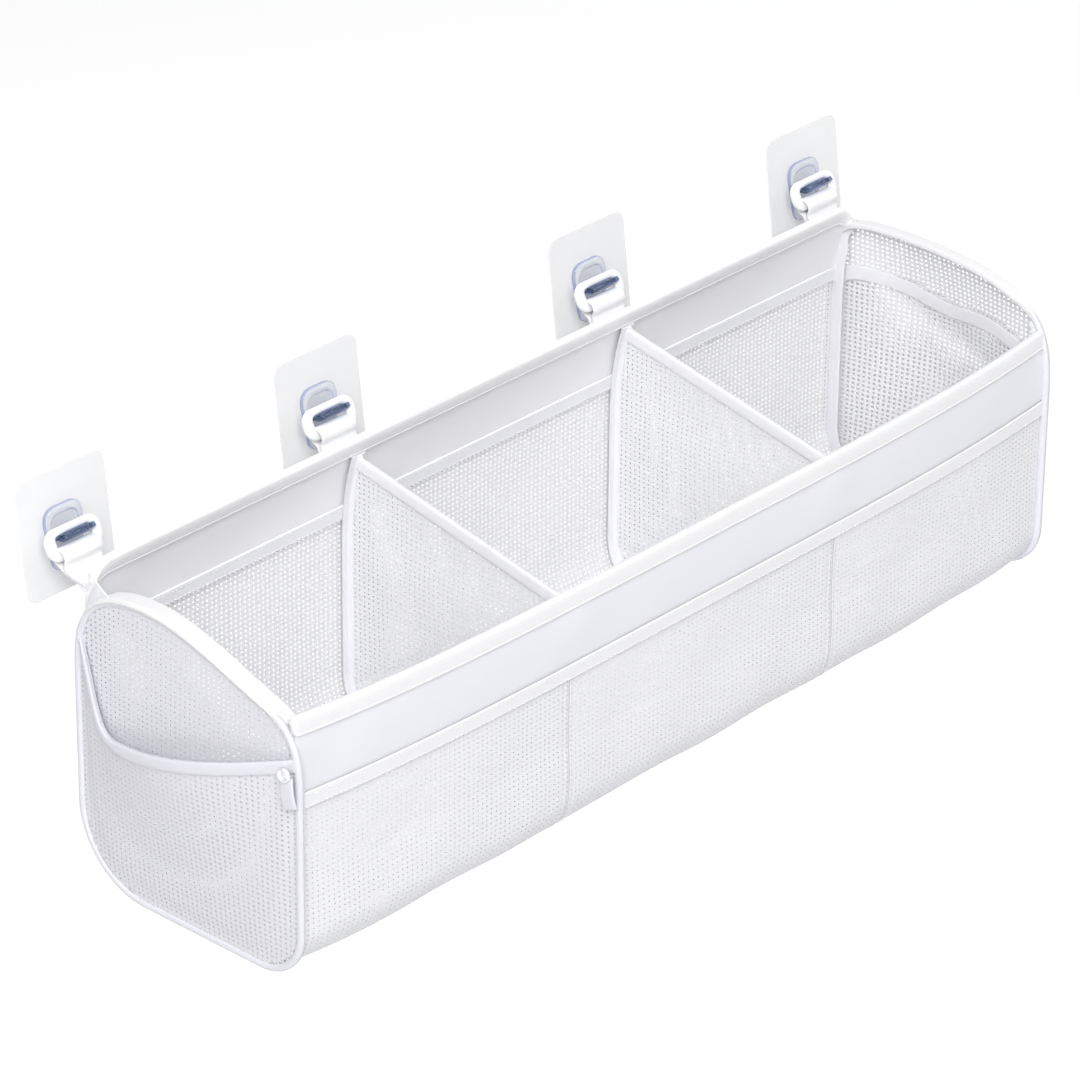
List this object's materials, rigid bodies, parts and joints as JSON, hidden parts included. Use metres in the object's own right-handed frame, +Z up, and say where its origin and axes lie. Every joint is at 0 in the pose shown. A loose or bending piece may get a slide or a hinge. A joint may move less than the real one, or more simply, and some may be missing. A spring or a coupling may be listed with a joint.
{
  "type": "bath toy holder",
  "caption": "Long white mesh basket with net dividers and end pockets that hangs on a bathroom wall by webbing loops and plastic rings over clear stick-on hooks",
  "frame": {"origin": "on the wall plane, midway along the row of rings, at the height of the hooks' seats", "axes": "+X along the basket, to the right as seen from the room; +Y into the wall; +Z up"},
  "size_m": [0.646, 0.1751, 0.2425],
  "materials": {
    "net": "white knitted net with small round holes",
    "band_fabric": "pale lavender white plain weave, slightly creased",
    "binding_tape": "finely ribbed off-white tape",
    "rod_steel": "plain spring wire inside the tapes",
    "stud_metal": "bright pressed metal",
    "webbing": "flat white webbing",
    "ring_plastic": "smooth white moulding",
    "clear_plastic": "clear polished moulding with a blue tinge",
    "film": "thin pale translucent film"
  },
  "bodies": {
    "wall_hooks": {"wall_film_1": "film", "wall_film_2": "film", "wall_film_3": "film", "wall_film_4": "film", "hook_1": "clear_plastic", "hook_2": "clear_plastic", "hook_3": "clear_plastic", "hook_4": "clear_plastic"},
    "rings": {"hang_ring_1": "ring_plastic", "hang_ring_2": "ring_plastic", "hang_ring_3": "ring_plastic", "hang_ring_4": "ring_plastic"},
    "basket": {"wrap_net": "net", "left_end_net": "net", "right_end_net": "net", "left_pocket_net": "net", "right_pocket_net": "net", "divider_net_1": "net", "divider_net_2": "net", "rear_band": "band_fabric", "front_band": "band_fabric", "left_corner_gusset": "band_fabric", "right_corner_gusset": "band_fabric", "rear_band_tape": "binding_tape", "front_band_tape": "binding_tape", "rear_rim_binding": "binding_tape", "front_rim_binding": "binding_tape", "divider_seam_tape_1": "binding_tape", "divider_seam_tape_2": "binding_tape", "divider_binding_1": "binding_tape", "divider_binding_2": "binding_tape", "left_hoop_piping": "binding_tape", "right_hoop_piping": "binding_tape", "left_arch_binding": "binding_tape", "right_arch_binding": "binding_tape", "left_pocket_binding": "binding_tape", "right_pocket_binding": "binding_tape", "ribbon_tab": "binding_tape", "rear_rim_rod": "rod_steel", "front_rim_rod": "rod_steel", "left_arch_wire": "rod_steel", "right_arch_wire": "rod_steel", "pocket_stud": "stud_metal", "strap_1": "webbing", "strap_2": "webbing", "strap_3": "webbing", "strap_4": "webbing"}
  },
  "joints": [
    {"name": "unhook", "type": "slide", "parent": "wall_hooks", "child": "rings", "axis": [0, -0.6428, 0.766], "range_m": [0, 0.018]},
    {"name": "swing", "type": "hinge", "parent": "rings", "child": "basket", "pos_m": [0, -0.01355, -0.00964], "axis": [-1, 0, 0], "range_deg": [0, 35]}
  ]
}
